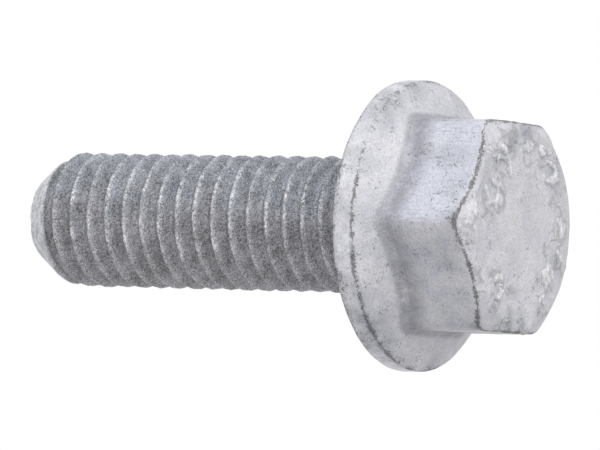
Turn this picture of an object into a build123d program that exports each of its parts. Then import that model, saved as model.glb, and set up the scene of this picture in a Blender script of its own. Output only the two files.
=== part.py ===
from build123d import *
import math
import os

# Hexagon flange bolt in millimetres. It stands on its head: the end face of the
# head is on z = 0, the axis is Z and the threaded shank points up. A corner of
# the hexagon points along -Y.

# Shank and thread
shank_length = 30.0            # bearing face of the flange to the tip
thread_diameter = 9.8          # across the crests
thread_pitch = 1.5             # one turn of the right-hand thread
thread_angle = 60.0            # between the two flanks of a groove
neck_length = 2.4              # plain part between the flange and the thread
run_out_length = 1.1           # the groove fades out over this length of neck
tip_diameter = 6.1             # flat end of the shank
tip_cone_angle = 37.0          # between the axis and the cone that the first crests rise out of
neck_fillet = 0.35             # where the neck meets the flange

# Flange
flange_diameter = 20.7
bearing_edge_chamfer = 0.2     # outer edge of the bearing face
rim_height = 1.6               # upright outer wall of the flange
rim_edge_chamfer = 0.15        # edge between that wall and the cone
flange_cone_angle = 30.0       # slope from the wall up to the hexagon

# Hexagon head
head_height = 9.4              # end face of the head to the bearing face
across_flats = 14.85
corner_round = 1.5             # upright edges between two flats
chamfer_circle = 14.2          # flat part of the end face
chamfer_angle = 30.0           # between the chamfer and the end face
hexagon_foot_fillet = 0.8      # where the hexagon meets the cone

# Sizes that follow from the ones above
crest_radius = thread_diameter / 2
half_flank = math.tan(math.radians(thread_angle / 2))
sharp_height = thread_pitch / (2 * half_flank)
groove_depth = sharp_height * 5 / 8
root_width = thread_pitch / 4
groove_overhang = groove_depth / 2
groove_top_width = root_width + 2 * (groove_depth + groove_overhang) * half_flank
neck_radius = crest_radius - sharp_height * 3 / 8
run_out_angle = math.degrees(math.atan(groove_depth / run_out_length))
tip_cone_length = (crest_radius - tip_diameter / 2) / math.tan(math.radians(tip_cone_angle))
flat_distance = across_flats / 2
flange_radius = flange_diameter / 2
rim_bottom = head_height - rim_height
thread_start = head_height + neck_length
tip_top = head_height + shank_length


def turned(points):
    """A solid of revolution about Z from half of its outline, given as (radius, height)."""
    return revolve(Plane.XZ * make_face(Polyline(*points, close=True)), Axis.Z)


def make_hexagon():
    """Six flats with softly rounded upright edges, cut to a shallow cone at the end face."""
    hexagon = RegularPolygon(flat_distance, 6, major_radius=False, rotation=30)
    prism = extrude(hexagon, rim_bottom + rim_height / 2)
    prism = fillet(prism.edges().filter_by(Axis.Z), corner_round)
    reach = across_flats
    chamfer_rise = (reach - chamfer_circle / 2) * math.tan(math.radians(chamfer_angle))
    envelope = turned(
        [
            (0, 0),
            (chamfer_circle / 2, 0),
            (reach, chamfer_rise),
            (reach, head_height),
            (0, head_height),
        ]
    )
    return prism & envelope


def make_flange():
    """The round flange: an upright wall, and a cone that goes on inside the hexagon."""
    cone_inner = flat_distance / 2
    cone_depth = (flange_radius - cone_inner) * math.tan(math.radians(flange_cone_angle))
    flange = turned(
        [
            (0, head_height),
            (flange_radius, head_height),
            (flange_radius, rim_bottom),
            (cone_inner, rim_bottom - cone_depth),
            (0, rim_bottom - cone_depth),
        ]
    )
    wall_edges = flange.edges().filter_by(GeomType.CIRCLE).group_by(SortBy.RADIUS)[-1]
    flange = chamfer(wall_edges.sort_by(Axis.Z)[0], rim_edge_chamfer)
    bearing_edge = flange.edges().filter_by(GeomType.CIRCLE).group_by(Axis.Z)[-1]
    return chamfer(bearing_edge, bearing_edge_chamfer)


def make_head():
    """Hexagon and flange as one forging, with a round where they meet."""
    hexagon = make_hexagon()
    flange = make_flange()
    head = hexagon + flange
    return fillet(new_edges(hexagon, flange, combined=head), hexagon_foot_fillet)


def make_shank():
    """The turned shape of the shank: neck, full thread diameter and tip cone."""
    return turned(
        [
            (0, rim_bottom),
            (neck_radius, rim_bottom),
            (neck_radius, thread_start - (crest_radius - neck_radius)),
            (crest_radius, thread_start),
            (crest_radius, tip_top - tip_cone_length),
            (tip_diameter / 2, tip_top),
            (0, tip_top),
        ]
    )


def make_blank():
    """The bolt before its thread is made, with a round between neck and flange."""
    head = make_head()
    shank = make_shank()
    blank = head + shank
    return fillet(new_edges(head, shank, combined=blank), neck_fillet)


def make_groove():
    """The right-hand thread groove: equal turns up past the tip, and a run-out below them.

    All of them start from one section. The run-out follows a cone, so the groove
    rises out of the neck over its length.
    """
    turn_path = Helix(thread_pitch, thread_pitch, crest_radius, center=(0, 0, thread_start))
    run_out_path = Rot(0, 0, 180) * Helix(
        thread_pitch / math.cos(math.radians(run_out_angle)),
        run_out_length,
        crest_radius,
        center=(0, 0, thread_start),
        direction=(0, 0, -1),
        cone_angle=run_out_angle,
    )
    outline = Polyline(
        (-groove_depth, -root_width / 2),
        (-groove_depth, root_width / 2),
        (groove_overhang, groove_top_width / 2),
        (groove_overhang, -groove_top_width / 2),
        close=True,
    )
    across_groove = Plane(origin=turn_path @ 0, x_dir=(1, 0, 0), z_dir=turn_path % 0)
    section = across_groove * make_face(outline)
    turn = sweep(section, path=turn_path, is_frenet=True)
    run_out = sweep(section, path=run_out_path, is_frenet=True)
    turn_count = math.ceil((tip_top - thread_start) / thread_pitch) + 1
    return [run_out] + [Pos(0, 0, number * thread_pitch) * turn for number in range(turn_count)]


bolt = make_blank() - make_groove()
bolt.label = "flange_bolt"

os.makedirs("parts", exist_ok=True)
export_step(bolt, "parts/flange_bolt.step")
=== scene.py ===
import math

import bpy
import numpy as np
from mathutils import Matrix, Vector


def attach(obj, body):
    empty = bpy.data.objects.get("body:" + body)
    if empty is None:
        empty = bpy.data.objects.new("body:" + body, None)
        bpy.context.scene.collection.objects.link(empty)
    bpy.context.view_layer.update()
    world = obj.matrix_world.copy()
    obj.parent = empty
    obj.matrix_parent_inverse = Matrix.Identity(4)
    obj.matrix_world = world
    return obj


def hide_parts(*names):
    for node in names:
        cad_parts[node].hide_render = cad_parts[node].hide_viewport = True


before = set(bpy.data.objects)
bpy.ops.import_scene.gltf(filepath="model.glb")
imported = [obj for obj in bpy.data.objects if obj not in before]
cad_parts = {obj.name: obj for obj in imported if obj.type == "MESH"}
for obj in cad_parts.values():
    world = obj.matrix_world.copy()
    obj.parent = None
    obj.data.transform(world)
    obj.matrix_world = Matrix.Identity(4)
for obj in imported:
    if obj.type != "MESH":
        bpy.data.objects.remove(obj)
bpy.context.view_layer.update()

MM = 0.001

# Sizes in millimetres. The bolt stands on its head: end face on z = 0, axis Z,
# threaded shank up, a corner of the hexagon along -Y.
END_FACE_RADIUS = 7.1
CHAMFER_SLOPE = math.tan(math.radians(30.0))
FLAT_DISTANCE = 7.425
CORNER_ROUND = 1.5
FLANGE_RADIUS = 10.35
RIM_BOTTOM = 7.8
CONE_SLOPE = math.tan(math.radians(30.0))
BEARING_FACE = 9.4
CREST_RADIUS = 4.875
NECK_RADIUS = 4.413
PITCH = 1.5
GROOVE_DEPTH = 0.812
THREAD_START = 11.8
RUN_OUT = 1.1
TIP_TOP = 39.4
TIP_FLAT_RADIUS = 3.05
TIP_CONE_SLOPE = math.tan(math.radians(37.0))

# The neck widens to the crests over this height, just below the thread
SHOULDER_RISE = 0.487

# Rounds at the corners of the outline, from the end face up
FACE_EDGE_ROUND = 0.8
CHAMFER_EDGE_ROUND = 0.22
FOOT_ROUND = 1.0
RIM_ROUND = 0.35
BEARING_EDGE_ROUND = 0.3
NECK_ROUND = 0.35
TIP_EDGE_ROUND = 0.6

# Thread profile: half the crest and a flank as shares of the pitch, and how much of a flank is straight
HALF_CREST = 0.05
FLANK_WIDTH = 0.34
STRAIGHT_SHARE = 0.55
# How softly the thread passes into the neck's shoulder and into the tip's cone
SHOULDER_BLEND = 0.15
TIP_BLEND = 0.12

# How finely the surface is divided. The end face's plain middle takes few rows.
COLUMNS = 276
CORNER_CROWDING = 0.3
PLAIN_FACE_SHARE = 0.55
PLAIN_FACE_ROWS = 8
MARKED_FACE_ROWS = 38
# Rows of chamfer, flat, cone, rim, bearing face and neck, and of the round before each
HEAD_RUN_ROWS = (5, 26, 11, 8, 4, 4)
HEAD_ROUND_ROWS = (3, 5, 7, 3, 3, 3)
TIP_RUN_ROWS = 7
TIP_ROUND_ROWS = 5
ROWS_PER_TURN = 11
FULL_TURNS = 17
TURN_ROWS = np.array([0, 0.07, 0.16, 0.27, 0.37, 0.45, 0.55, 0.63, 0.73, 0.84, 0.93])
# The most of a side that a corner's curve takes, and the sharpest corner that is reckoned with
LARGEST_TANGENT = 0.48
SHARPEST_COSINE = 0.9999

# A crest, carried on down below the thread, at angle 0
HELIX_BASE = THREAD_START - PITCH / 2

# Where the coat changes: heights between which a zone begins
SHANK_ZONE = (BEARING_FACE + 0.05, BEARING_FACE + 0.3)
TIP_ZONE = (TIP_TOP - 2.8, TIP_TOP - 2.4)
TIP_END_ZONE = (TIP_TOP - 0.2, TIP_TOP - 0.05)
TIP_RING_ZONE = (TIP_TOP - 3.0, TIP_TOP - 2.2)
FIRST_CREST_ZONE = (TIP_TOP - 3.8, TIP_TOP - 3.0)
# Distances inside the tip's cone that count as on it, and between which the darker ring below it lies
ON_TIP_CONE = (0.13, 0.07)
TIP_RING_START = (0.08, 0.16)
TIP_RING_END = (0.75, 0.40)
# The shank lies within this radius, and the end face within this radius and height
SHANK_REACH = 5.5
FACE_REACH = 8.0
FACE_TOP = 0.5

# Noise: how far each seed moves the lattice, and the numbers that mix a lattice point's hash
SEED_SHIFT = 57.31
SEED_PRIME = 4256249
LATTICE_PRIMES = np.array([73856093, 19349663, 83492791])
MIXERS = ((15, 2246822519), (13, 3266489917))
MASK = 0xFFFFFFFF
HALF_RANGE = 0x7FFFFFFF

# Relief of the zinc coat in layers of random swells: cell, height and seed
HEAD_SWELLS = ((2.6, 0.030, 1), (0.9, 0.020, 2), (0.33, 0.010, 3))
THREAD_LUMPS = ((1.1, 0.035, 4), (0.35, 0.035, 5))
FACE_CRUST = ((0.30, 0.050, 14), (0.65, 0.060, 15))
# How far the dark lines wander from their edges
LINE_WANDER = ((1.6, 0.05, 6), (0.3, 0.04, 9))
# Grooves along those lines: depth, and half width at the floor and at the top
EDGE_GROOVE = (0.07, 0.03, 0.16)
RIM_GROOVE = (0.06, 0.02, 0.15)
# How even those grooves are, with the cell and seed of their pits
EDGE_PITS = (0.6, 0.35, 7)
RIM_PITS = (0.4, 0.6, 8)
# Strokes on the end face: how far they bend and how rough their height is, with the cells and seeds
STROKE_BEND = 0.22
BEND_CELL = 0.7
BEND_SEEDS = (12, 13)
STROKE_ROUGHNESS = 0.5
ROUGHNESS_NOISE = (0.35, 10)
# Curls and crust on the end face: sizes, and the radii and the noise between which the crust begins
CURL_HEIGHT = 0.22
CURL_CELL = 0.95
CURL_SEED = 33
CURL_WIDTH = 0.16
CRUST_START = (3.6, 4.8)
CRUST_NOISE = (1.7, 16)
CRUST_RISE = (-0.5, 0.3)
CRUST_SHOWN = 0.6
# Wide soiled clouds on the head: cell and seed, the noise between which they begin, and strength
CLOUD_NOISE = (2.2, 11)
CLOUD_RISE = (0.35, 0.9)
CLOUD_STRENGTH = 0.45
# Distances below the chamfer's edge and above the foot between which a flat's own colour and painted light
# and shade begin
FLAT_RISE = (0, 0.5)
FLAT_FOOT = (-0.2, 0.6)
# Crest lines, a painted highlight partly of rubbed pale zinc: how little is left of them on the -X side, and
# where and how far they weaken elsewhere
FAINTEST_CREST = 0.05
CREST_LOW_SIDE = (-0.80, -0.25)
CREST_HIGH_SIDE = (0.55, 0.95)
CREST_WEAKENING = 0.65
# The relief fades out within this radius, where the columns meet
SMOOTH_MIDDLE = 0.8


def smooth_step(value, low, high):
    """0 at low, 1 at high, the curve 3t^2 - 2t^3 between them, and level past them."""
    t = np.clip((value - low) / (high - low), 0, 1)
    return t * t * (3 - 2 * t)


def soft_min(a, b, blend):
    """The lesser of two surfaces, with a parabola of width blend where they cross."""
    h = np.clip(0.5 + 0.5 * (b - a) / blend, 0, 1)
    return b * (1 - h) + a * h - blend * h * (1 - h)


def lattice_noise(place, cell, seed):
    """Random numbers from -1 to 1 on a cubic lattice of that cell, smoothly blended between its points.

    A lattice point's number is a hash of its three whole coordinates and the seed.
    """
    spot = place / cell + SEED_SHIFT * (seed + 1)
    low = np.floor(spot).astype(np.int64)
    t = spot - low
    t = t * t * (3 - 2 * t)
    total = np.zeros(place.shape[:-1])
    for corner in range(8):
        step = np.array([corner & 1, corner >> 1 & 1, corner >> 2 & 1])
        key = ((low + step) * LATTICE_PRIMES).sum(-1) + seed * SEED_PRIME
        for shift, factor in MIXERS:
            key = (key ^ (key >> shift)) * factor & MASK
        height = (key ^ (key >> 16)) / HALF_RANGE - 1
        weight = np.where(step == 1, t, 1 - t).prod(-1)
        total += height * weight
    return total


def column_angles():
    """Angles round the axis from +X, crowded at the corners: t - crowding * sin(6(t - corner)) / 6."""
    t = np.linspace(0, 2 * np.pi, COLUMNS + 1)
    corner = -np.pi / 2
    return t - CORNER_CROWDING * (np.sin(6 * (t - corner)) - np.sin(-6 * corner)) / 6


def hexagon_radius(angle):
    """Distance from the axis to a hexagon's side at each angle, its corners rounded by an arc."""
    off_flat = (angle + np.pi / 6) % (np.pi / 3) - np.pi / 6
    arc_centre = (FLAT_DISTANCE - CORNER_ROUND) / math.cos(np.pi / 6)
    off_corner = np.pi / 6 - np.abs(off_flat)
    arc = arc_centre * np.cos(off_corner) + np.sqrt(
        np.maximum(CORNER_ROUND ** 2 - (arc_centre * np.sin(off_corner)) ** 2, 0))
    tangent = math.atan2(arc_centre / 2, FLAT_DISTANCE)
    return np.where(np.abs(off_flat) < tangent, FLAT_DISTANCE / np.cos(off_flat), arc)


def rounded_outline(corners, rounds, runs, arc_rows):
    """Rows along a polyline of (radius, height) at each angle, each corner replaced by a curve.

    A corner's curve is the parabola between the two points at the tangent
    distance round * tan(half the turn) from it. Returns the rows of points, and
    the number of the row at the middle of each corner's curve.
    """
    rows = []
    middles = []
    row_count = 0
    count = len(corners)
    starts = []
    ends = []
    for number, corner in enumerate(corners):
        if number in (0, count - 1):
            starts.append(corner)
            ends.append(corner)
            continue
        before = corners[number - 1] - corner
        after = corners[number + 1] - corner
        before_length = np.linalg.norm(before, axis=-1, keepdims=True)
        after_length = np.linalg.norm(after, axis=-1, keepdims=True)
        before = before / before_length
        after = after / after_length
        cosine = np.clip((before * after).sum(-1, keepdims=True), -SHARPEST_COSINE, SHARPEST_COSINE)
        half_turn = (np.pi - np.arccos(cosine)) / 2
        tangent = rounds[number] * np.tan(half_turn)
        tangent = np.minimum(tangent, LARGEST_TANGENT * np.minimum(before_length, after_length))
        starts.append(corner + before * tangent)
        ends.append(corner + after * tangent)
    for number in range(count - 1):
        middles.append(row_count + arc_rows[number] // 2)
        row_count += arc_rows[number] + len(runs[number])
        if arc_rows[number]:
            t = (np.arange(arc_rows[number]) + 0.5)[:, None, None] / arc_rows[number]
            sides = (1 - t) ** 2 * starts[number] + t ** 2 * ends[number]
            rows.append(sides + 2 * t * (1 - t) * corners[number])
        share = runs[number][:, None, None]
        rows.append(ends[number] * (1 - share) + starts[number + 1] * share)
    return np.concatenate(rows), middles


def even(count):
    """Shares along a run from its start to its end."""
    return np.linspace(0, 1, count)


def head_rows(angle):
    """The outline from the end face's middle over chamfer, hexagon, flange and neck, at each angle."""
    one = np.ones_like(angle)
    side = hexagon_radius(angle)

    def point(radius, height):
        return np.stack([radius * one, height * one], -1)

    def cone_height(radius):
        return RIM_BOTTOM - (FLANGE_RADIUS - radius) * CONE_SLOPE

    plain_run = np.linspace(0, PLAIN_FACE_SHARE, PLAIN_FACE_ROWS)[:-1]
    marked_run = np.linspace(PLAIN_FACE_SHARE, 1, MARKED_FACE_ROWS)
    face_run = np.concatenate([plain_run, marked_run])
    corners = [
        point(0, 0),
        point(END_FACE_RADIUS, 0),
        point(side, (side - END_FACE_RADIUS) * CHAMFER_SLOPE),
        point(side, cone_height(side)),
        point(FLANGE_RADIUS, RIM_BOTTOM),
        point(FLANGE_RADIUS, BEARING_FACE),
        point(NECK_RADIUS, BEARING_FACE),
        point(NECK_RADIUS, HELIX_BASE),
    ]
    rounds = [
        0,
        FACE_EDGE_ROUND,
        CHAMFER_EDGE_ROUND,
        FOOT_ROUND,
        RIM_ROUND,
        BEARING_EDGE_ROUND,
        NECK_ROUND,
        0,
    ]
    runs = [face_run] + [even(count) for count in HEAD_RUN_ROWS]
    return rounded_outline(corners, rounds, runs, [0, *HEAD_ROUND_ROWS])


def helix_rows(angle):
    """Heights of rows that follow the helix, closed to a level ring at each end by a wedge of rows.

    Row i at angle a has the height of its share of a turn plus pitch * a / 2 pi.
    In the lower wedge every row starts at one point and opens by its own share;
    in the upper wedge every row closes to one point.
    """
    turn = angle / (2 * np.pi)
    shares = np.concatenate([TURN_ROWS, [1]])
    lower = shares[:-1, None] * turn
    middle = (np.arange(FULL_TURNS)[:, None] + TURN_ROWS).reshape(-1, 1) + turn
    upper = FULL_TURNS + shares[:, None] + (1 - shares[:, None]) * turn
    return HELIX_BASE + PITCH * np.concatenate([lower, middle, upper])


def tip_cone(height):
    """Radius of the tip's cone: the flat end's radius plus the height below the top times the slope."""
    return TIP_FLAT_RADIUS + (TIP_TOP - height) * TIP_CONE_SLOPE


def shank_radius(angle, height):
    """Radius of the threaded shank: neck, then crest minus the groove's depth times its rounded profile.

    The profile depends on (height - pitch * angle / 2 pi) / pitch: 0 over a tenth
    of the pitch at the crest, 1 over about a fifth at the root, and flanks between
    that are part straight and part cosine. The groove fades out at the neck.
    """
    phase = (height - HELIX_BASE) / PITCH - angle / (2 * np.pi)
    off_crest = np.abs(phase - np.round(phase))
    flank = np.clip((off_crest - HALF_CREST) / FLANK_WIDTH, 0, 1)
    wave = 0.5 - 0.5 * np.cos(np.pi * flank)
    depth = STRAIGHT_SHARE * flank + (1 - STRAIGHT_SHARE) * wave
    groove_centre = HELIX_BASE + PITCH * (np.floor(phase) + 0.5 + angle / (2 * np.pi))
    fade = np.clip((THREAD_START - groove_centre) / RUN_OUT, 0, 1)
    grooved = CREST_RADIUS - GROOVE_DEPTH * depth * (1 - fade)
    shoulder = NECK_RADIUS + np.maximum(height - (THREAD_START - SHOULDER_RISE), 0)
    return soft_min(soft_min(grooved, shoulder, SHOULDER_BLEND), tip_cone(height), TIP_BLEND)


def tip_rows(angle, ring):
    """From the last ring of the thread over the tip's cone and its round edge to the axis."""
    one = np.ones_like(angle)
    corners = [
        ring,
        np.stack([TIP_FLAT_RADIUS * one, TIP_TOP * one], -1),
        np.stack([0 * one, TIP_TOP * one], -1),
    ]
    runs = [even(TIP_RUN_ROWS), even(TIP_RUN_ROWS)]
    return rounded_outline(corners, [0, TIP_EDGE_ROUND, 0], runs, [0, TIP_ROUND_ROWS])[0][1:]


def outward(section):
    """Unit vector (radial, upward) square to the section, from the differences of neighbouring rows."""
    along = np.gradient(section, axis=0)
    normal = np.stack([along[..., 1], -along[..., 0]], -1)
    return normal / np.maximum(np.linalg.norm(normal, axis=-1, keepdims=True), 1e-9)


def layered_noise(place, layers):
    """The sum of layers of lattice noise, each times its height."""
    return sum(height * lattice_noise(place, cell, seed) for cell, height, seed in layers)


def pitted_groove(place, off_line, size, pits):
    """A groove along a line: depth times 1 less the smooth step of the distance from floor to top.

    Its depth varies with noise: evenness + (1 - evenness) * noise.
    """
    depth, floor, top = size
    evenness, cell, seed = pits
    uneven = evenness + (1 - evenness) * lattice_noise(place, cell, seed)
    return depth * (1 - smooth_step(np.abs(off_line), floor, top)) * uneven


def strokes(place, lines):
    """Softly raised ridges: each is its height times the smooth step of 1 - distance / width from its line.

    A line is (first point, last point, width, height). The highest ridge counts where they cross.
    """
    total = np.zeros(place.shape[:-1])
    for first, last, width, height in lines:
        first = np.array(first)
        along = np.array(last) - first
        share = np.clip(((place - first) @ along) / max(along @ along, 1e-9), 0, 1)
        distance = np.linalg.norm(place - first - share[..., None] * along, axis=-1)
        total = np.maximum(total, height * smooth_step(1 - distance / width, 0, 0.75))
    return total


def curling_ridges(place, cell, seed, width):
    """Ridges that curl at random where noise passes through 0: the smooth step of 1 - |noise| / width."""
    return smooth_step(1 - np.abs(lattice_noise(place, cell, seed)) / width, 0, 0.8)


def patches(place, spots):
    """Soft round patches: each is its strength times the smooth step of 1 - distance / reach.

    The distance is from the patch's middle. The strongest patch counts where they meet.
    """
    total = np.zeros(place.shape[:-1])
    for middle, reach, strength in spots:
        distance = np.linalg.norm(place - np.array(middle), axis=-1)
        total = np.maximum(total, strength * smooth_step(1 - distance / reach, 0, 1))
    return total


def new_mesh(name, points, faces, values):
    """A mesh from arrays of points in metres and faces, with its values stored at the points."""
    mesh = bpy.data.meshes.new(name)
    mesh.from_pydata(points, [], faces)
    for key, data in values.items():
        layer = mesh.attributes.new(key, "FLOAT", "POINT")
        layer.data.foreach_set("value", np.ascontiguousarray(data, dtype=np.float32))
    mesh.polygons.foreach_set("use_smooth", np.ones(len(mesh.polygons), dtype=bool))
    mesh.update()
    piece = bpy.data.objects.new(name, mesh)
    bpy.context.scene.collection.objects.link(piece)
    return piece


def bolt_section(angle):
    """Rows of (radius, height) at each angle, from the end face's middle to the tip's.

    Returns them with the numbers of the rows at the middles of the head's corners,
    of the helix's first row and of the level ring that ends it.
    """
    head, middles = head_rows(angle)
    helix_height = helix_rows(angle)
    helix = np.stack([shank_radius(angle, helix_height), helix_height], -1)
    tip = tip_rows(angle, helix[-1])
    section = np.concatenate([head[:-1], helix, tip])
    first = len(head) - 1
    last_ring = first + ROWS_PER_TURN * (FULL_TURNS + 2)
    return section, middles, first, last_ring


def places(section, angle):
    """The points (radius * cos, radius * sin, height) of the section's rows."""
    radial = section[..., 0]
    return np.stack([radial * np.cos(angle), radial * np.sin(angle), section[..., 1]], -1)


def face_relief(place, radial, on_face):
    """Plain strokes and random curls on the end face, and a crust of fine lumps round its middle.

    The strokes are bent by noise, and their height is rough. The curls lie in listed
    patches, and the crust comes and goes with wide noise.
    """
    face_place = place * np.array([1, 1, 0])
    rough = 1 + STROKE_ROUGHNESS * lattice_noise(place, *ROUGHNESS_NOISE)
    sideways = [lattice_noise(place, BEND_CELL, seed) for seed in BEND_SEEDS]
    bent = face_place + STROKE_BEND * np.stack([*sideways, 0 * radial], -1)
    curls = curling_ridges(face_place, CURL_CELL, CURL_SEED, CURL_WIDTH) * patches(face_place, CURL_PATCHES)
    marks = np.maximum(strokes(bent, FACE_MARKS), CURL_HEIGHT * curls) * on_face * rough
    ring = smooth_step(radial, *CRUST_START) * on_face
    crusted = ring * smooth_step(lattice_noise(place, *CRUST_NOISE), *CRUST_RISE)
    return marks, layered_noise(place, FACE_CRUST) * crusted


def zinc_coat_values(section, angle, middles):
    """How far the coat stands out at each point, in millimetres, and the values that its colours follow."""
    place = places(section, angle)
    radial = section[..., 0]
    height = section[..., 1]
    cos = np.cos(angle)

    # distances along the outline from the chamfer's edge, the hexagon's foot and the rim's edge
    steps = np.linalg.norm(np.diff(section, axis=0), axis=-1)
    arc_length = np.concatenate([np.zeros((1, COLUMNS + 1)), np.cumsum(steps, axis=0)])
    edge_row, foot_row, rim_row = middles[2:5]
    wander = layered_noise(place, LINE_WANDER)
    off_edge = arc_length - arc_length[edge_row] + wander
    off_foot = arc_length - arc_length[foot_row]
    off_rim = arc_length - arc_length[rim_row] + wander

    # shank: height past the nearest crest, where it is coated as thread, and its pale tip with a darker ring
    phase = (height - HELIX_BASE) / PITCH - angle / (2 * np.pi)
    beyond_crest = (phase - np.round(phase)) * PITCH
    on_shank = smooth_step(height, *SHANK_ZONE) * (radial < SHANK_REACH)
    off_tip = tip_cone(height) - radial
    on_cone = smooth_step(height, *TIP_ZONE) * smooth_step(off_tip, *ON_TIP_CONE)
    on_tip = np.maximum(on_cone, smooth_step(height, *TIP_END_ZONE))
    tip_ring = smooth_step(off_tip, *TIP_RING_START) * smooth_step(off_tip, *TIP_RING_END)
    tip_ring = tip_ring * smooth_step(height, *TIP_RING_ZONE)

    # painted highlight along the crests, partly rubbed pale zinc: nearly gone on the -X side, and weaker on
    # the +X side and at the first crest
    crest_highlight = FAINTEST_CREST + (1 - FAINTEST_CREST) * smooth_step(cos, *CREST_LOW_SIDE)
    crest_highlight = crest_highlight * (1 - CREST_WEAKENING * smooth_step(cos, *CREST_HIGH_SIDE))
    crest_highlight = crest_highlight * (1 - CREST_WEAKENING * smooth_step(height, *FIRST_CREST_ZONE))

    # relief: swells on the head, lumps on the thread, pitted grooves, strokes, crust and drips
    pits = pitted_groove(place, off_edge, EDGE_GROOVE, EDGE_PITS)
    pits = pits + pitted_groove(place, off_rim, RIM_GROOVE, RIM_PITS)
    on_face = (height < FACE_TOP) * (radial < FACE_REACH)
    marks, crust = face_relief(place, radial, on_face)
    swells = layered_noise(place, HEAD_SWELLS) * (1 - on_shank)
    lumps = layered_noise(place, THREAD_LUMPS) * on_shank
    lift = swells + lumps - pits + marks + crust + strokes(place, DRIPS)
    lift = lift * smooth_step(radial, 0, SMOOTH_MIDDLE)

    # where the head's coat is soiled: listed patches, and wide soft ones all round
    clouds = smooth_step(lattice_noise(place, *CLOUD_NOISE), *CLOUD_RISE)
    grime = patches(place, STAINS) + CLOUD_STRENGTH * clouds * (1 - on_shank)
    flat_number = ((angle + np.pi / 6) // (np.pi / 3) % 6).astype(int)
    on_flat = smooth_step(off_edge, *FLAT_RISE) * smooth_step(-off_foot, *FLAT_FOOT)

    return lift, {
        "off_edge": off_edge,
        "off_foot": off_foot,
        "off_rim": off_rim,
        "off_crest": np.abs(beyond_crest),
        "beyond_crest": beyond_crest,
        "pale": patches(place, PALE_SPOTS),
        "faded": patches(place, FADED_LINES),
        "on_shank": on_shank,
        "on_tip": on_tip,
        "tip_ring": tip_ring,
        "raised": marks + CRUST_SHOWN * crust,
        "grime": grime,
        "flat_light_and_tone": FLAT_LIGHT_AND_TONES[flat_number] * on_flat,
        "on_flat": on_flat,
        "toward_plus_x": cos * on_shank,
        "crest_highlight": crest_highlight,
    }


def joined_rows(rows, first, last_ring):
    """Quads between neighbouring rows and columns, as numbers of points.

    Every row closes on itself, but a row of the helix runs on into the row one
    turn higher. The first and the last row are one point each.
    """
    number = np.arange(rows)
    in_helix = (number >= first) & (number <= last_ring)
    partner = np.where(in_helix, np.minimum(number + ROWS_PER_TURN, last_ring), number)
    in_wedge = (number >= first) & (number <= first + ROWS_PER_TURN)
    start = np.where(in_wedge, first, number)
    index = number[:, None] * COLUMNS + np.arange(COLUMNS + 1)
    index[:, 0] = start * COLUMNS
    index[:, COLUMNS] = start[partner] * COLUMNS
    index[0] = 0
    index[-1] = (rows - 1) * COLUMNS
    corners = [index[:-1, :-1], index[:-1, 1:], index[1:, 1:], index[1:, :-1]]
    return np.stack(corners, -1).reshape(-1, 4)


def make_bolt():
    """The whole skin of the bolt as one closed grid of rows along its outline and columns round its axis."""
    angle = column_angles()
    section, middles, first, last_ring = bolt_section(angle)
    lift, values = zinc_coat_values(section, angle, middles)
    coated = section + outward(section) * lift[..., None]
    points = places(coated, angle)[:, :COLUMNS].reshape(-1, 3) * MM
    quads = joined_rows(len(section), first, last_ring)
    return points, quads, {key: data[:, :COLUMNS].ravel() for key, data in values.items()}


def clean_faces(points, quads, values):
    """Leaves out points that no face uses, and makes triangles of quads that close to a point."""
    same = quads == np.roll(quads, -1, axis=1)
    whole = quads[~same.any(1)]
    narrow = quads[same.sum(1) == 1]
    keep = ~(narrow == np.roll(narrow, -1, axis=1))
    triangles = narrow[keep].reshape(-1, 3)
    used = np.unique(np.concatenate([whole.ravel(), triangles.ravel()]))
    renumber = np.zeros(len(points), dtype=np.int64)
    renumber[used] = np.arange(len(used))
    faces = renumber[whole].tolist() + renumber[triangles].tolist()
    return points[used], faces, {key: data[used] for key, data in values.items()}


# Plain strokes in the end face's plane, (x, y, 0) to (x, y, 0), with their half width and height
FACE_MARKS = [
    ((5.5, -3.3, 0), (5.2, -2.8, 0), 0.34, 0.15),
    ((4.3, -2.3, 0), (3.6, -1.9, 0), 0.30, 0.15),
    ((5.9, 0.1, 0), (5.4, 0.5, 0), 0.30, 0.14),
    ((5.9, 2.1, 0), (5.4, 2.4, 0), 0.34, 0.16),
    ((4.7, 3.6, 0), (4.3, 4.3, 0), 0.32, 0.17),
    ((3.5, 3.4, 0), (3.7, 5.2, 0), 0.24, 0.13),
    ((3.0, -4.4, 0), (2.5, -3.0, 0), 0.34, 0.18),
    ((1.9, -3.3, 0), (1.3, -3.8, 0), 0.30, 0.15),
    ((2.4, -5.6, 0), (1.9, -4.9, 0), 0.30, 0.15),
    ((0.9, 5.1, 0), (0.3, 5.5, 0), 0.26, 0.12),
    ((-1.4, 5.3, 0), (-2.1, 5.8, 0), 0.30, 0.16),
    ((-3.1, 3.5, 0), (-3.5, 4.1, 0), 0.42, 0.17),
    ((-4.5, 2.7, 0), (-5.1, 3.5, 0), 0.30, 0.14),
    ((-3.8, -3.6, 0), (-3.5, -2.7, 0), 0.28, 0.14),
    ((-5.0, -3.2, 0), (-4.5, -2.6, 0), 0.32, 0.16),
    ((6.2, -1.3, 0), (6.4, -0.8, 0), 0.26, 0.12),
]
# Parts of the end face where such ridges curl: middle, reach and strength
CURL_PATCHES = [
    ((4.9, -3.0, 0), 1.9, 1.4),
    ((5.4, 0.6, 0), 1.3, 1.1),
    ((5.6, 2.9, 0), 1.5, 1.5),
    ((4.3, 4.4, 0), 1.5, 1.3),
    ((2.2, -4.2, 0), 1.9, 1.3),
    ((2.2, 5.9, 0), 1.4, 1.0),
    ((0.2, 5.6, 0), 1.3, 0.9),
    ((-1.4, 4.8, 0), 1.8, 1.5),
    ((-3.2, 4.0, 0), 1.5, 1.2),
    ((-4.9, 3.1, 0), 1.2, 0.8),
    ((-4.2, -3.0, 0), 1.7, 1.1),
]
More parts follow.
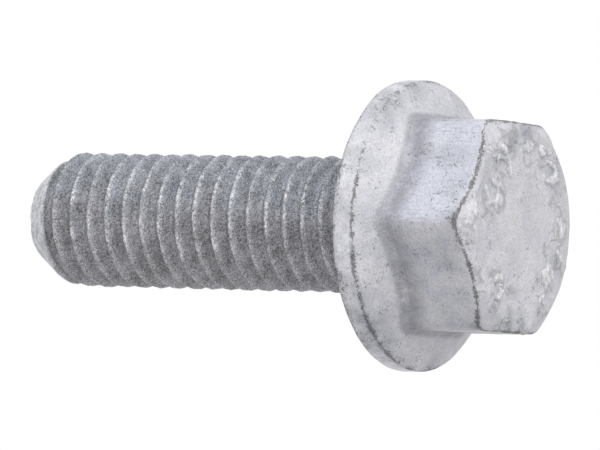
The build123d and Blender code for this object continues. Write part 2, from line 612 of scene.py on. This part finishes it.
# Runs and drips that set on the coat, with their half width and height
DRIPS = [
    ((1.3, -6.70, 0.1), (-2.3, -6.45, 0.1), 0.24, 0.13),
    ((2.3, -6.65, 0.1), (3.1, -6.0, 0.1), 0.26, 0.10),
    ((-4.3, -6.10, 6.0), (-5.9, -5.15, 6.2), 0.35, 0.16),
    ((-2.6, -7.0, 5.4), (-2.5, -7.1, 6.3), 0.50, 0.12),
    ((3.2, -6.8, 5.5), (3.1, -6.9, 6.5), 0.45, 0.12),
    ((7.4, 2.4, 5.0), (7.5, 2.5, 6.4), 0.45, 0.14),
    ((-7.4, 1.2, 5.2), (-7.5, 1.3, 6.3), 0.40, 0.12),
    ((2.0, 7.4, 5.3), (2.1, 7.5, 6.3), 0.45, 0.12),
]
# Soiled patches: middle, reach and strength
STAINS = [
    # end face and chamfer
    ((0.1, -8.4, 0.85), 1.3, 1.0),
    ((-7.25, -4.4, 1.1), 1.3, 1.0),
    ((6.6, 0.2, 0.0), 1.5, 1.0),
    ((5.9, -1.7, 0.0), 1.6, 0.9),
    ((4.7, -3.4, 0.0), 1.1, 0.45),
    ((-7.0, -2.5, 0.1), 1.6, 0.9),
    ((-6.9, 0.4, 0.1), 1.5, 0.9),
    ((-6.8, -4.9, 0.3), 1.4, 0.8),
    ((-5.8, 3.4, 0.0), 1.5, 0.7),
    ((-2.2, 5.3, 0.0), 1.6, 0.7),
    ((4.3, 4.4, 0.0), 1.5, 0.7),
    ((-6.0, -3.6, 0.2), 1.4, 0.7),
    ((-6.9, -1.2, 0.1), 1.3, 1.0),
    # flats
    ((-2.8, -7.0, 1.9), 1.4, 0.6),
    ((-2.0, -7.4, 3.4), 1.3, 0.5),
    ((2.6, -7.1, 1.5), 1.6, 0.5),
    ((6.9, -4.6, 5.9), 1.5, 0.6),
    # cone, rim and wall of the flange
    ((0.3, -9.6, 7.3), 1.5, 0.35),
    ((-7.3, -7.1, 7.7), 1.6, 0.9),
    ((-8.6, -5.2, 7.7), 1.8, 1.0),
    ((-9.4, -3.2, 7.6), 1.4, 0.4),
    ((-9.9, 1.1, 7.6), 1.6, 0.7),
    ((7.6, -6.6, 8.0), 1.9, 1.0),
    ((8.6, -5.4, 7.8), 1.7, 1.0),
    ((9.6, -2.6, 7.9), 1.6, 0.9),
    ((1.3, -10.3, 9.2), 1.0, 0.6),
    ((-4.3, -9.4, 9.1), 1.2, 0.8),
    ((-6.5, -8.1, 8.9), 1.3, 0.8),
    ((4.7, -9.2, 8.4), 1.0, 0.5),
    ((-6.8, -7.8, 8.3), 1.6, 1.0),
    ((-5.5, -9.0, 7.4), 1.6, 0.8),
    ((9.3, -2.5, 9.8), 1.2, 1.0),
    ((8.3, -5.0, 9.1), 1.2, 1.0),
    ((7.1, -6.8, 8.7), 1.2, 0.9),
    ((6.2, -7.7, 8.4), 1.0, 0.7),
    ((-8.7, -5.4, 8.6), 1.3, 0.8),
    ((-9.4, -3.9, 8.2), 1.3, 0.6),
    ((-10.0, -2.0, 7.6), 1.2, 0.4),
    ((8.5, -5.8, 9.7), 1.0, 0.5),
    ((-8.2, -6.3, 8.6), 1.6, 0.9),
    ((8.9, -5.0, 8.6), 1.5, 0.6),
]
# Patches of thick, pale coat: middle, reach and strength
PALE_SPOTS = [
    ((-0.1, -7.7, 0.35), 1.3, 1.0),
    ((-1.4, -7.1, 0.15), 1.1, 0.8),
    ((0.9, -7.2, 0.2), 0.9, 0.6),
    ((-4.9, -6.2, 5.7), 0.7, 0.9),
    ((-5.4, -5.8, 6.1), 0.6, 0.8),
    ((5.4, -5.0, 4.2), 1.2, 0.6),
    ((-8.9, -3.0, 7.1), 1.8, 0.5),
]
# Where the dark line along the rim fades out: middle, reach and strength
FADED_LINES = [
    ((5.6, -8.7, 7.8), 1.6, 0.7),
    ((7.2, -7.4, 7.8), 2.0, 1.0),
    ((8.6, -5.8, 7.8), 1.9, 0.9),
    ((9.6, -3.9, 7.8), 1.8, 0.8),
    ((10.1, -2.0, 7.8), 1.5, 0.5),
]
# How pale each flat is painted beside the others, from the one facing +X onwards: on the front flats, painted
# light towards +X and the key lamp and painted shade towards -X; the back flats differ at random
FLAT_LIGHT_AND_TONES = np.array([0.3, -0.2, 0.4, -0.3, -1.0, 1.0])

bolt_skin = new_mesh("bolt_skin", *clean_faces(*make_bolt()))
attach(bolt_skin, "root")
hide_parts("flange_bolt")

# camera: the photograph's viewing angle, with its focal length in pixels and its distance in millimetres
CAMERA_FOCAL = 6381.4
CAMERA_DISTANCE = 453.416
IMAGE_WIDTH = 600
IMAGE_CENTRE = (299.5, 224.5)
SENSOR_WIDTH = 36.0
NEAREST_SEEN = 0.01
FARTHEST_SEEN = 50.0
# The axis's point at the aim height, in millimetres, is seen at the target pixel
TARGET_PIXEL = (406.591, 225.25)
AIM_HEIGHT = 9.3
# How far the axis leans away from the image plane and from level, and how far the near corner is turned
AXIS_TILT = math.radians(30.935)
AXIS_ROLL = math.radians(1.10)
AXIS_TURN = math.radians(2.40)

# the bolt's axis, the side of it that is nearest and the third direction, as the camera sees them
axis_seen = Vector((
    -math.cos(AXIS_TILT) * math.cos(AXIS_ROLL),
    -math.cos(AXIS_TILT) * math.sin(AXIS_ROLL),
    math.sin(AXIS_TILT),
))
towards_camera = Vector((0, 0, -1))
near_seen = (towards_camera - axis_seen * towards_camera.dot(axis_seen)).normalized()
side_seen = axis_seen.cross(near_seen)
# the same three directions in the bolt's own frame
near_angle = -math.pi / 2 - AXIS_TURN
near_real = Vector((math.cos(near_angle), math.sin(near_angle), 0))
axis_real = Vector((0, 0, 1))
side_real = axis_real.cross(near_real)
seen = Matrix((near_seen, side_seen, axis_seen))
real = Matrix((near_real, side_real, axis_real))
turn = real.transposed() @ seen
mm_per_pixel = CAMERA_DISTANCE / CAMERA_FOCAL
offset = Vector((
    (TARGET_PIXEL[0] - IMAGE_CENTRE[0]) * mm_per_pixel,
    (TARGET_PIXEL[1] - IMAGE_CENTRE[1]) * mm_per_pixel,
    CAMERA_DISTANCE,
))
camera_place = (Vector((0, 0, AIM_HEIGHT)) - turn @ offset) * MM
right = turn @ Vector((1, 0, 0))
up = turn @ Vector((0, -1, 0))
back = turn @ Vector((0, 0, -1))
camera_data = bpy.data.cameras.new("camera")
camera_data.sensor_width = SENSOR_WIDTH
camera_data.sensor_fit = "HORIZONTAL"
camera_data.lens = CAMERA_FOCAL / IMAGE_WIDTH * SENSOR_WIDTH
camera_data.clip_start = NEAREST_SEEN
camera_data.clip_end = FARTHEST_SEEN
camera = bpy.data.objects.new("camera", camera_data)
camera.matrix_world = Matrix((
    (right.x, up.x, back.x, camera_place.x),
    (right.y, up.y, back.y, camera_place.y),
    (right.z, up.z, back.z, camera_place.z),
    (0, 0, 0, 1),
))
bpy.context.scene.collection.objects.link(camera)
bpy.context.scene.camera = camera
bpy.context.scene.view_settings.view_transform = "Standard"


class Nodes:
    """Short calls that build a material's nodes."""

    def __init__(self, name):
        self.material = bpy.data.materials.new(name)
        self.material.use_nodes = True
        self.tree = self.material.node_tree
        self.tree.nodes.clear()
        self.place = self.new("ShaderNodeTexCoord").outputs["Object"]

    def new(self, kind, **settings):
        node = self.tree.nodes.new(kind)
        for key, value in settings.items():
            setattr(node, key, value)
        return node

    def put(self, socket, value):
        """Links a socket to another one's output, or sets it to a plain value."""
        if isinstance(value, bpy.types.NodeSocket):
            self.tree.links.new(value, socket)
        else:
            socket.default_value = value

    def value(self, name):
        """A value stored at the mesh's points."""
        return self.new("ShaderNodeAttribute", attribute_name=name).outputs["Fac"]

    def math(self, operation, a, b=0.0, c=0.0, clamp=False):
        node = self.new("ShaderNodeMath", operation=operation, use_clamp=clamp)
        self.put(node.inputs[0], a)
        self.put(node.inputs[1], b)
        self.put(node.inputs[2], c)
        return node.outputs[0]

    def plus(self, a, b):
        return self.math("ADD", a, b)

    def minus(self, a, b):
        return self.math("SUBTRACT", a, b)

    def times(self, a, b, clamp=False):
        return self.math("MULTIPLY", a, b, clamp=clamp)

    def swing(self, noise, width):
        """A noise's distance from its middle, times a width."""
        return self.times(self.minus(noise, 0.5), width)

    def noise(self, size_mm, detail=2.0, roughness=0.5, stretch=(1, 1, 1), distortion=0.0):
        mapping = self.new("ShaderNodeMapping")
        mapping.inputs["Scale"].default_value = stretch
        self.put(mapping.inputs["Vector"], self.place)
        node = self.new("ShaderNodeTexNoise")
        self.put(node.inputs["Vector"], mapping.outputs[0])
        self.put(node.inputs["Scale"], 1 / (size_mm * MM))
        self.put(node.inputs["Detail"], detail)
        self.put(node.inputs["Roughness"], roughness)
        self.put(node.inputs["Distortion"], distortion)
        return node.outputs["Fac"]

    def scale(self, colour, factor):
        node = self.new("ShaderNodeVectorMath", operation="SCALE")
        self.put(node.inputs[0], colour)
        self.put(node.inputs["Scale"], factor)
        return node.outputs[0]

    def shade(self, noises):
        """1 plus each noise's distance from its middle times its weight, and never under 0.3."""
        total = 1.0
        for noise, weight in noises:
            total = self.math("MULTIPLY_ADD", noise, weight, total)
        middle = sum(weight for noise, weight in noises) / 2
        return self.math("MAXIMUM", self.minus(total, middle), 0.3)

    def ramp(self, value, low, high, to_low=0.0, to_high=1.0):
        """A smooth step from to_low at low to to_high at high."""
        node = self.new("ShaderNodeMapRange", interpolation_type="SMOOTHSTEP")
        self.put(node.inputs["Value"], value)
        self.put(node.inputs["From Min"], low)
        self.put(node.inputs["From Max"], high)
        self.put(node.inputs["To Min"], to_low)
        self.put(node.inputs["To Max"], to_high)
        return node.outputs["Result"]

    def band(self, value, rise, fall):
        """1 between a rise and a fall, each given as the values where it is 0 and 1, or 1 and 0."""
        return self.times(self.ramp(value, *rise), self.ramp(value, *fall))

    def mix(self, share, a, b):
        node = self.new("ShaderNodeMix", data_type="RGBA")
        self.put(node.inputs["Factor"], share)
        self.put(node.inputs[6], a)
        self.put(node.inputs[7], b)
        return node.outputs[2]


# Colours of the coat on the head
PALE_ZINC = ((0.60, 0.60, 0.645, 1), (0.675, 0.675, 0.705, 1))
# painted light for the flat towards the key lamp, then painted shade for the flat turned away
PAINTED_LIGHT_FLAT = (0.70, 0.72, 0.83, 1)
PAINTED_SHADE_FLAT = ((0.65, 0.65, 0.675, 1), (0.545, 0.555, 0.62, 1))
RIM_WALL = (0.80, 0.80, 0.86, 1)
FOOT_SHADE_GREY = (0.325, 0.325, 0.365, 1)
STREAK_GREY = (0.36, 0.36, 0.41, 1)
HAZE_GREY = (0.36, 0.37, 0.415, 1)
THICK_COAT = (0.75, 0.75, 0.76, 1)
STROKE_SHADE = (0.34, 0.34, 0.345, 1)
STROKE_HIGHLIGHT = (0.80, 0.80, 0.81, 1)
SPECK = (0.22, 0.22, 0.235, 1)
PITTED_LINE = (0.115, 0.115, 0.12, 1)
# Colours of the coat on the thread and the tip
THREAD_GREY = ((0.375, 0.372, 0.395, 1), (0.355, 0.372, 0.415, 1))
ROOT_SHADE_GREY = (0.12, 0.12, 0.13, 1)
CREST_SHADOW = (0.15, 0.15, 0.16, 1)
CREST_HIGHLIGHT_AND_WEAR = (0.72, 0.72, 0.75, 1)
TIP_RING_GREY = (0.17, 0.175, 0.185, 1)
TIP_ZINC = ((0.56, 0.56, 0.58, 1), (0.80, 0.81, 0.88, 1))

# Zones in millimetres along the outline, past the rim's edge and the hexagon's foot, where shade is painted
# into the crease
WALL_RISE = (0.10, 0.25)
WALL_FALL = (1.5, 1.25)
BEARING_EDGE = 1.50
FOOT_RISE = (-2.3, -0.6)
FOOT_FALL = (0.70, 0.20)
# Zones in millimetres from a crest: the root's painted shade, the painted shadow on one side and the crest's
# painted highlight
ROOT_ZONE = (0.50, 0.72)
SHADOW_RISE = (0.08, 0.20)
SHADOW_FALL = (0.62, 0.35)
CREST_WIDTH = (0.09, 0.22)
# Heights of the relief where the painted shade round a stroke's foot rises and falls, and where the painted
# highlight on its top begins
BORDER_RISE = (0.004, 0.02)
BORDER_FALL = (0.075, 0.04)
HIGHLIGHT_RISE = (0.08, 0.16)
# Specks: size in millimetres, the noise above which they show, and how dark they are
SPECKS = ((0.17, 0.640, 0.80), (0.30, 0.652, 0.72))
# Dark lines: how wide, and how much noise breaks them, at the chamfer, the rim and the bearing edge
EDGE_LINE = (0.125, 0.30)
RIM_LINE = (0.085, 0.36)
BEARING_LINE = (0.07, 0.46)
HALO_WIDTH = (0.34, 0.10)
BUMP_DEPTH = 0.00005
METALLIC = 0.25


def head_colour(n, dust, grain, fine, medium):
    """Pale, cloudy, slightly violet zinc, soiled and specked, which differs from flat to flat partly at
    random and partly as painted light and shade; painted shade lies in the crease at the hexagon's foot and
    round the strokes' feet, and painted highlights on the strokes' tops.
    """
    grime = n.value("grime")
    flat_light_and_tone = n.value("flat_light_and_tone")
    uneven = n.plus(fine, medium)
    head = n.mix(n.ramp(n.noise(3.2, 2.0), 0.38, 0.62), *PALE_ZINC)
    # painted light and shade by flat: paler towards the key lamp, darker turned away from it
    head = n.mix(n.times(flat_light_and_tone, 0.7, clamp=True), head, PAINTED_LIGHT_FLAT)
    shaded_flat = n.mix(n.ramp(n.noise(1.5, 3.0), 0.42, 0.60), *PAINTED_SHADE_FLAT)
    head = n.mix(n.times(flat_light_and_tone, -0.75, clamp=True), head, shaded_flat)
    wall = n.band(n.value("off_rim"), WALL_RISE, WALL_FALL)
    head = n.mix(n.times(wall, n.ramp(medium, 0.35, 0.55, 0.3, 0.95)), head, RIM_WALL)
    # painted shade, with some dirt, in the crease at the hexagon's foot
    foot = n.band(n.value("off_foot"), FOOT_RISE, FOOT_FALL)
    head = n.mix(n.times(foot, n.ramp(medium, 0.3, 0.6, 0.50, 0.85)), head, FOOT_SHADE_GREY)

    # streaks along the flats, most on those painted paler
    streak = n.ramp(n.noise(0.15, 2.0, 0.6, stretch=(1, 1, 0.09)), 0.46, 0.34)
    streak_depth = n.times(n.value("on_flat"), n.ramp(flat_light_and_tone, 0.0, 1.0, 0.05, 0.36))
    head = n.mix(n.times(streak, streak_depth), head, STREAK_GREY)

    # haze where the coat is soiled, and thick pale coat
    head = n.mix(n.times(grime, n.ramp(uneven, 0.80, 1.08, 0.10, 0.85)), head, HAZE_GREY)
    head = n.mix(n.times(n.value("pale"), n.ramp(uneven, 0.85, 1.10, 0.25, 1.0)), head, THICK_COAT)

    # painted highlight on the tops of the raised strokes, and painted shade round the foot of each
    raised = n.plus(n.value("raised"), n.swing(grain, 0.05))
    head = n.mix(n.times(n.band(raised, BORDER_RISE, BORDER_FALL), 0.50), head, STROKE_SHADE)
    head = n.mix(n.times(n.ramp(raised, *HIGHLIGHT_RISE), 0.70), head, STROKE_HIGHLIGHT)

    # specks: small dark spots of no fixed shape, crowded where the coat is soiled
    crowd = n.plus(n.ramp(n.noise(1.4, 2.0), 0.45, 0.66, -0.04, 0.06), n.times(grime, 0.09))
    for size, level, depth in SPECKS:
        spot = n.plus(n.noise(size, 2.0, 0.65, distortion=0.6), crowd)
        head = n.mix(n.ramp(spot, level, level + 0.07, 0.0, depth), head, SPECK)
    return n.scale(head, n.shade(((dust, 0.45), (grain, 0.45), (fine, 0.45), (medium, 0.25))))


def thread_colour(n, dust, grain, fine, medium):
    """Granular grey in bluish and warm clouds, with painted shade in the roots and beside the crests, thin
    broken crest lines of painted highlight partly of rubbed zinc, painted light on the -X side, and a pale
    tip.
    """
    toward_plus_x = n.value("toward_plus_x")
    off_crest = n.value("off_crest")
    clouds = n.plus(n.times(n.noise(2.2, 2.0), 2.0), toward_plus_x)
    thread = n.mix(n.ramp(clouds, 0.75, 1.70), *THREAD_GREY)
    # painted shade, partly dirt, in the thread's roots
    thread = n.mix(n.ramp(off_crest, *ROOT_ZONE, 0.0, 0.12), thread, ROOT_SHADE_GREY)

    # painted shadow on the far side of each crest, and the crest's broken painted highlight, partly rubbed
    # pale zinc
    shadow = n.band(n.value("beyond_crest"), SHADOW_RISE, SHADOW_FALL)
    shadow = n.times(shadow, n.ramp(toward_plus_x, -0.80, -0.20, 0.40, 1.0))
    thread = n.mix(n.times(shadow, n.ramp(medium, 0.35, 0.60, 0.30, 0.85)), thread, CREST_SHADOW)
    ragged = n.plus(off_crest, n.swing(grain, 0.45))
    crest = n.times(n.ramp(ragged, *CREST_WIDTH, 1.0, 0.0), n.value("crest_highlight"))
    long_breaks = n.ramp(n.noise(1.3, 2.0), 0.38, 0.60, 0.10, 0.85)
    short_breaks = n.ramp(fine, 0.38, 0.56, 0.20, 1.0)
    thread = n.mix(n.times(crest, n.times(long_breaks, short_breaks)), thread, CREST_HIGHLIGHT_AND_WEAR)

    # painted light making the -X side a little paler, a darker ring below the tip, grain all over, and the
    # pale tip
    thread = n.scale(thread, n.ramp(toward_plus_x, -0.85, -0.30, 1.14, 1.0))
    thread = n.mix(n.times(n.value("tip_ring"), 0.45), thread, TIP_RING_GREY)
    grains = ((dust, 3.0), (grain, 1.5), (fine, 1.1), (medium, 0.8), (n.noise(1.9, 1.0), 0.9))
    thread = n.scale(thread, n.shade(grains))
    tip = n.mix(n.ramp(n.plus(fine, medium), 0.88, 1.06), *TIP_ZINC)
    tip = n.scale(tip, n.shade(((dust, 0.8), (grain, 0.6))))
    return n.mix(n.value("on_tip"), thread, tip)


def dark_lines(n, colour, dust, grain, fine, medium):
    """Ragged pitted lines along the chamfer's, the rim's and the bearing face's edge, in a specked halo."""
    jag = n.plus(n.swing(grain, 0.45), n.swing(fine, 0.30))
    rim = n.value("off_rim")
    thickness = n.math("MULTIPLY_ADD", n.value("grime"), 0.6, 1.0)
    faded = n.times(n.value("faded"), 1.5)
    pitted = n.ramp(n.plus(dust, grain), 0.85, 1.20, 1.0, 0.45)
    halo_spots = n.ramp(n.plus(grain, medium), 1.0, 1.16, 0.0, 0.75)
    lines = (
        (n.value("off_edge"), EDGE_LINE),
        (rim, RIM_LINE),
        (n.minus(rim, BEARING_EDGE), BEARING_LINE),
    )
    for off_line, (width, breaks) in lines:
        gap = n.math("ABSOLUTE", n.plus(off_line, jag))
        spread = n.minus(n.times(n.ramp(medium, breaks, breaks + 0.2), thickness), faded)
        line = n.ramp(n.minus(gap, n.times(spread, width)), -0.03, 0.04, 0.95, 0.0)
        colour = n.mix(n.times(n.ramp(gap, *HALO_WIDTH), halo_spots), colour, SPECK)
        colour = n.mix(n.times(line, pitted), colour, PITTED_LINE)
    return colour


def zinc_coat():
    """Hot-dipped zinc: pale and matt on the head, darker and granular on the thread, dark along the edges,
    with light and shade painted on the flats, in creases, on the strokes and on the thread.
    """
    n = Nodes("zinc_coat")
    dust = n.noise(0.075, 1.0, 0.6)
    grain = n.noise(0.14, 2.0, 0.6)
    fine = n.noise(0.28, 3.0, 0.7)
    medium = n.noise(0.8, 3.0, 0.6)
    shank = n.value("on_shank")
    head = head_colour(n, dust, grain, fine, medium)
    thread = thread_colour(n, dust, grain, fine, medium)
    colour = dark_lines(n, n.mix(shank, head, thread), dust, grain, fine, medium)

    shader = n.new("ShaderNodeBsdfPrincipled")
    n.put(shader.inputs["Base Color"], colour)
    shader.inputs["Metallic"].default_value = METALLIC
    n.put(shader.inputs["Roughness"], n.ramp(fine, 0.2, 0.8, 0.5, 0.7))
    bump = n.new("ShaderNodeBump")
    bump.inputs["Distance"].default_value = BUMP_DEPTH
    bump.inputs["Strength"].default_value = 1.0
    relief = n.plus(n.times(grain, 0.7), n.plus(fine, n.times(medium, 0.8)))
    n.put(bump.inputs["Height"], n.times(relief, n.ramp(shank, 0, 1, 0.8, 1.6)))
    n.put(shader.inputs["Normal"], bump.outputs[0])
    out = n.new("ShaderNodeOutputMaterial")
    n.put(out.inputs["Surface"], shader.outputs[0])
    return n.material


bolt_skin.data.materials.append(zinc_coat())

# floor: seen from above, clear from below, and clear to light, just under the relief of the end face
FLOOR_LEVEL = -0.35
FLOOR_REACH = 3000.0
FLOOR_COLOUR = (0.86, 0.86, 0.87, 1)
FLOOR_GLOW_COLOUR = (0.99, 0.99, 1.0, 1)
FLOOR_GLOW = 0.4


def floor_paint():
    """Matt pale paint with a faint glow, only for the camera's rays that come from above."""
    n = Nodes("floor_paint")
    diffuse = n.new("ShaderNodeBsdfDiffuse")
    diffuse.inputs["Color"].default_value = FLOOR_COLOUR
    glow = n.new("ShaderNodeEmission")
    glow.inputs["Color"].default_value = FLOOR_GLOW_COLOUR
    glow.inputs["Strength"].default_value = FLOOR_GLOW
    pale = n.new("ShaderNodeAddShader")
    n.put(pale.inputs[0], diffuse.outputs[0])
    n.put(pale.inputs[1], glow.outputs[0])
    clear = n.new("ShaderNodeBsdfTransparent")
    from_above = n.minus(1.0, n.new("ShaderNodeNewGeometry").outputs["Backfacing"])
    seen_share = n.times(from_above, n.new("ShaderNodeLightPath").outputs["Is Camera Ray"])
    paint = n.new("ShaderNodeMixShader")
    n.put(paint.inputs[0], seen_share)
    n.put(paint.inputs[1], clear.outputs[0])
    n.put(paint.inputs[2], pale.outputs[0])
    n.put(n.new("ShaderNodeOutputMaterial").inputs["Surface"], paint.outputs[0])
    return n.material


floor_corners = np.array([(-1, -1, 0), (1, -1, 0), (1, 1, 0), (-1, 1, 0)]) * FLOOR_REACH * MM
floor_corners = floor_corners + np.array([0, 0, FLOOR_LEVEL * MM])
floor = new_mesh("floor", floor_corners, [(0, 1, 2, 3)], {})
floor.data.materials.append(floor_paint())

# world: plain light, white where the camera or a reflection sees it
WORLD_LIGHT = 0.54
WORLD_SEEN = 1.0
world = bpy.data.worlds.new("studio")
world.use_nodes = True
bpy.context.scene.world = world
tree = world.node_tree
tree.nodes.clear()
rays = tree.nodes.new("ShaderNodeLightPath")
either = tree.nodes.new("ShaderNodeMath")
either.operation = "MAXIMUM"
tree.links.new(rays.outputs["Is Camera Ray"], either.inputs[0])
tree.links.new(rays.outputs["Is Glossy Ray"], either.inputs[1])
level = tree.nodes.new("ShaderNodeMapRange")
level.inputs["To Min"].default_value = WORLD_LIGHT
level.inputs["To Max"].default_value = WORLD_SEEN
tree.links.new(either.outputs[0], level.inputs["Value"])
background = tree.nodes.new("ShaderNodeBackground")
background.inputs["Color"].default_value = (1, 1, 1, 1)
tree.links.new(level.outputs[0], background.inputs["Strength"])
tree.links.new(background.outputs[0], tree.nodes.new("ShaderNodeOutputWorld").inputs["Surface"])

# lamps: name, direction from the bolt's middle, distance and size in metres, and power
LAMP_AIM = 20.0
LAMPS = (
    ("key", (0.75, -0.60, -0.35), 1.0, 0.5, 3.9),
    ("from_end", (0.45, -0.2, -1.0), 1.0, 0.8, 2.8),
)


def soft_lamp(name, direction, distance, size, power):
    """A square lamp, out along a direction from the middle of the bolt and facing it."""
    data = bpy.data.lights.new(name, "AREA")
    data.size = size
    data.energy = power
    lamp = bpy.data.objects.new(name, data)
    away = Vector(direction).normalized()
    lamp.location = Vector((0, 0, LAMP_AIM * MM)) + away * distance
    lamp.rotation_euler = away.to_track_quat("Z", "Y").to_euler()
    bpy.context.scene.collection.objects.link(lamp)


for lamp_settings in LAMPS:
    soft_lamp(*lamp_settings)
